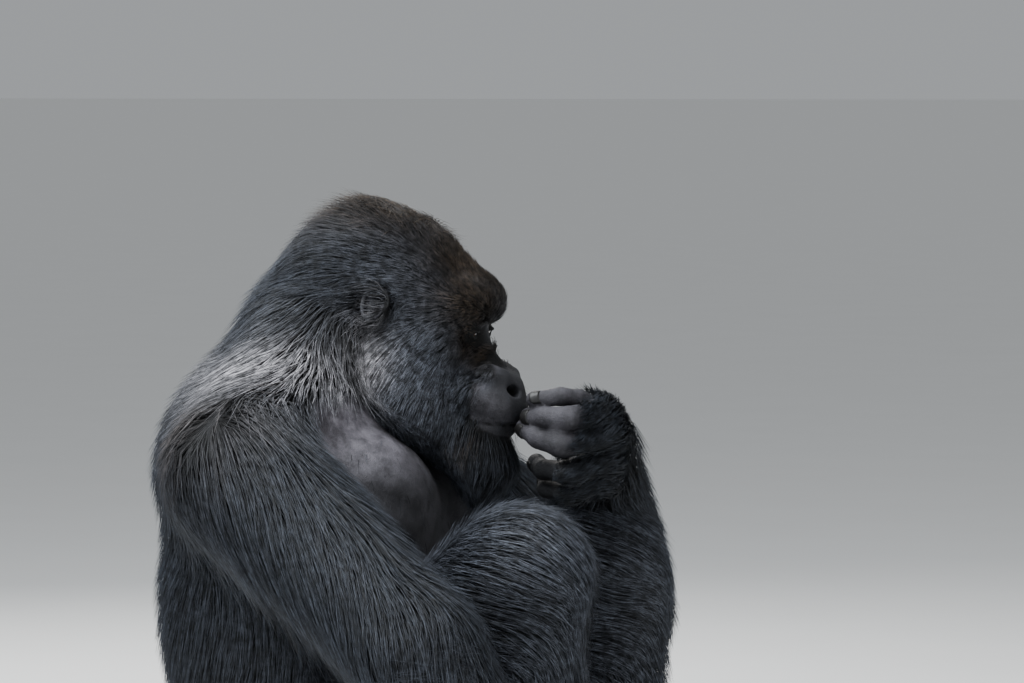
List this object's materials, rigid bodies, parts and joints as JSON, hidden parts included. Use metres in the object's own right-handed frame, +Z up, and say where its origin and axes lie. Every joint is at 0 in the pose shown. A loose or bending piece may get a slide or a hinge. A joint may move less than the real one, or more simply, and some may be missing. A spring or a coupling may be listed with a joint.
{
  "type": "seated gorilla figure",
  "caption": "Life-size seated silverback gorilla with knees raised, one hand at its lips and the other on the floor, cast still as a museum model.",
  "frame": {"origin": "on the floor, at the middle of the whole animal's footprint box", "axes": "+Z up; +X the way the gorilla faces; +Y towards its left side"},
  "size_m": [0.9034, 0.9262, 0.9373],
  "materials": {
    "coat": "long black fur with a bluish grey sheen, silver grey over the back",
    "skin": "bare dark grey skin, creased and slightly shiny",
    "eye": "wet dark brown eye",
    "claw": "smooth dark nail"
  },
  "bodies": {
    "root": {"head": "coat", "neck": "coat", "trunk": "coat", "left_ear": "skin", "right_ear": "skin", "left_eye": "eye", "right_eye": "eye", "left_upper_arm": "coat", "left_forearm": "coat", "left_hand": "skin", "right_upper_arm": "coat", "right_forearm": "coat", "right_hand": "skin", "left_thigh": "coat", "left_shin": "coat", "left_foot": "skin", "right_thigh": "coat", "right_shin": "coat", "right_foot": "skin"}
  },
  "joints": []
}
